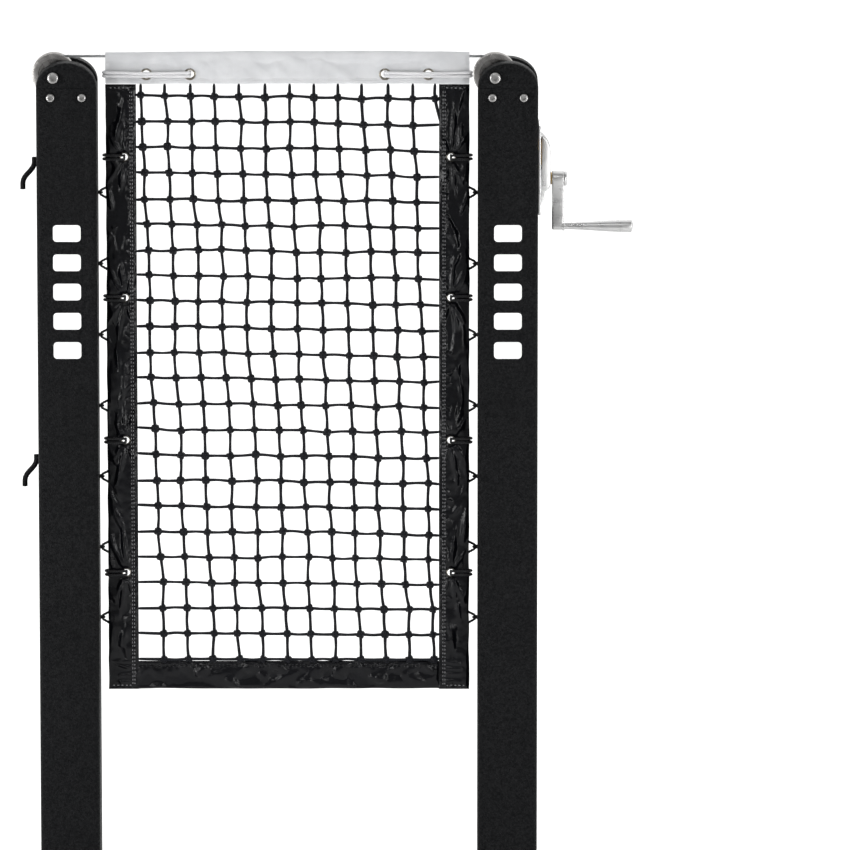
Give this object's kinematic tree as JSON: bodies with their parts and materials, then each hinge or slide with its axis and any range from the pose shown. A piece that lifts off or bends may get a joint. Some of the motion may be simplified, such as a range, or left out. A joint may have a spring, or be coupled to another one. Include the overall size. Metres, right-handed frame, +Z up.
{
  "type": "tennis net on posts",
  "caption": "Tennis net set on square posts: pulley heads, a cable in a white headband, laced black side bands and a worm-geared cable winder with a crank.",
  "frame": {"origin": "on the ground line, midway between the two posts, in the plane of the net", "axes": "+X towards the post that carries the winder, +Y to the back, +Z up"},
  "size_m": [1.0195, 0.1158, 1.4885],
  "materials": {
    "powder_coat": "black fine-texture powder coat",
    "polished": "polished",
    "stainless": "bright stainless steel",
    "brass": "bright turned brass",
    "bronze": "bronze, darker than the drum",
    "steel_cable": "twisted galvanised wire",
    "nickel": "nickel plate",
    "white_vinyl": "white coated headband cloth",
    "black_vinyl": "glossy black coated cloth",
    "twine": "knotted black twine",
    "white_cord": "white braided cord",
    "black_rope": "black laid rope",
    "black_plastic": "moulded"
  },
  "bodies": {
    "frame": {"left_post_tube": "powder_coat", "left_post_head": "powder_coat", "left_foot_plug": "black_plastic", "left_axle_bolt": "stainless", "left_axle_nut": "stainless", "left_head_bolt_left": "stainless", "left_head_bolt_right": "stainless", "left_side_band": "black_vinyl", "left_end_cord": "white_cord", "left_lacing_rope": "black_rope", "left_inner_eyelet": "nickel", "left_outer_eyelet": "nickel", "left_lacing_eye_1": "powder_coat", "left_lacing_eye_2": "powder_coat", "left_lacing_eye_3": "powder_coat", "left_lacing_eye_4": "powder_coat", "left_lacing_eye_5": "powder_coat", "left_lacing_eye_6": "powder_coat", "left_lacing_eye_7": "powder_coat", "right_post_tube": "powder_coat", "right_post_head": "powder_coat", "right_foot_plug": "black_plastic", "right_axle_bolt": "stainless", "right_axle_nut": "stainless", "right_head_bolt_left": "stainless", "right_head_bolt_right": "stainless", "right_side_band": "black_vinyl", "right_end_cord": "white_cord", "right_lacing_rope": "black_rope", "right_inner_eyelet": "nickel", "right_outer_eyelet": "nickel", "right_lacing_eye_1": "powder_coat", "right_lacing_eye_2": "powder_coat", "right_lacing_eye_3": "powder_coat", "right_lacing_eye_4": "powder_coat", "right_lacing_eye_5": "powder_coat", "right_lacing_eye_6": "powder_coat", "right_lacing_eye_7": "powder_coat", "left_cable_hook_upper": "powder_coat", "left_cable_hook_lower": "powder_coat", "winder_housing": "polished", "drum_shaft": "stainless", "worm_bush": "bronze", "headband": "white_vinyl", "net_mesh": "twine", "bottom_band": "black_vinyl", "net_cable": "steel_cable", "winder_screw_1": "stainless", "winder_screw_2": "stainless", "winder_screw_3": "stainless", "winder_screw_4": "stainless"},
    "left_sheave": {"left_sheave": "polished", "left_sheave_bush": "bronze"},
    "right_sheave": {"right_sheave": "polished", "right_sheave_bush": "bronze"},
    "crank": {"worm_shaft": "stainless", "crank_handle": "polished", "crank_screw": "polished"},
    "drum": {"cable_drum": "brass", "worm_wheel": "bronze"}
  },
  "joints": [
    {"name": "left_sheave_spin", "type": "hinge", "parent": "frame", "child": "left_sheave", "pos_m": [-0.3875, 0, 1.045], "axis": [0, 1, 0], "continuous": true},
    {"name": "right_sheave_spin", "type": "hinge", "parent": "frame", "child": "right_sheave", "pos_m": [0.3445, 0, 1.045], "axis": [0, 1, 0], "continuous": true},
    {"name": "crank_spin", "type": "hinge", "parent": "frame", "child": "crank", "pos_m": [0.416, 0.02, 0.867], "axis": [1, 0, 0], "continuous": true},
    {"name": "drum_spin", "type": "hinge", "parent": "frame", "child": "drum", "pos_m": [0.396, 0, 0.911], "axis": [0, 1, 0], "continuous": true}
  ],
  "couplings": [
    {"joint": "drum_spin", "follows": "crank_spin", "ratio": 0.027778}
  ]
}
